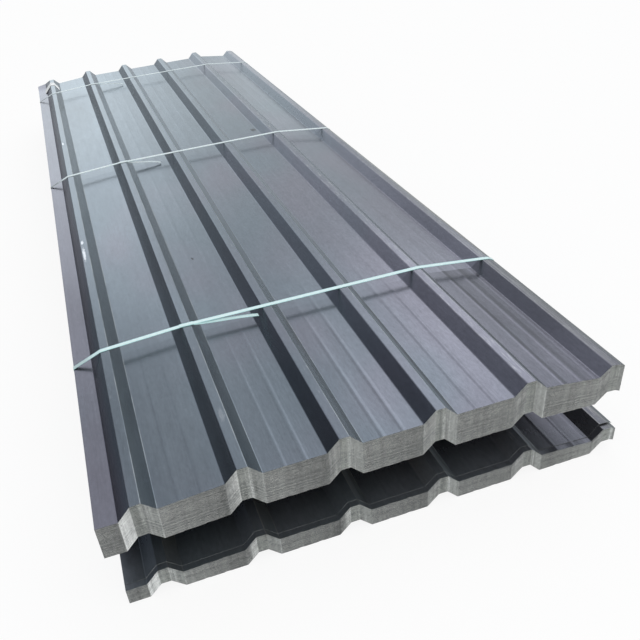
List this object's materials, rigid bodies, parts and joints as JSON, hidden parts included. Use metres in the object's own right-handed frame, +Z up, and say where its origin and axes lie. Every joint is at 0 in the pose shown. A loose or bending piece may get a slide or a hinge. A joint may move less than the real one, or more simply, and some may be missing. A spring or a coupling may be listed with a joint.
{
  "type": "stack of corrugated metal sheets",
  "caption": "Strapped pack of nested trapezoidal-rib roofing sheets, stacked on a thinner pack of the same sheets with short timber bearers between them.",
  "frame": {"origin": "on the floor, under the middle of the whole stack's bounding box", "axes": "+Y along the sheets to their far end, +X across the ribs to the edge with the open rib, +Z up"},
  "size_m": [1.1452, 3.349, 0.2784],
  "materials": {
    "painted_sheet": "satin prepainted slate grey",
    "nested_sheets": "cut edges of prepainted steel sheets, bare metal between thin paint lines",
    "timber": "rough sawn",
    "strap": "pale mint polymer strapping"
  },
  "bodies": {
    "root": {"lower_sheets": "nested_sheets", "lower_top_sheet": "painted_sheet", "upper_sheets": "nested_sheets", "upper_top_sheet": "painted_sheet", "bearer_near": "timber", "bearer_middle": "timber", "bearer_far": "timber", "strap_near": "strap", "strap_middle": "strap", "strap_far": "strap"}
  },
  "joints": []
}
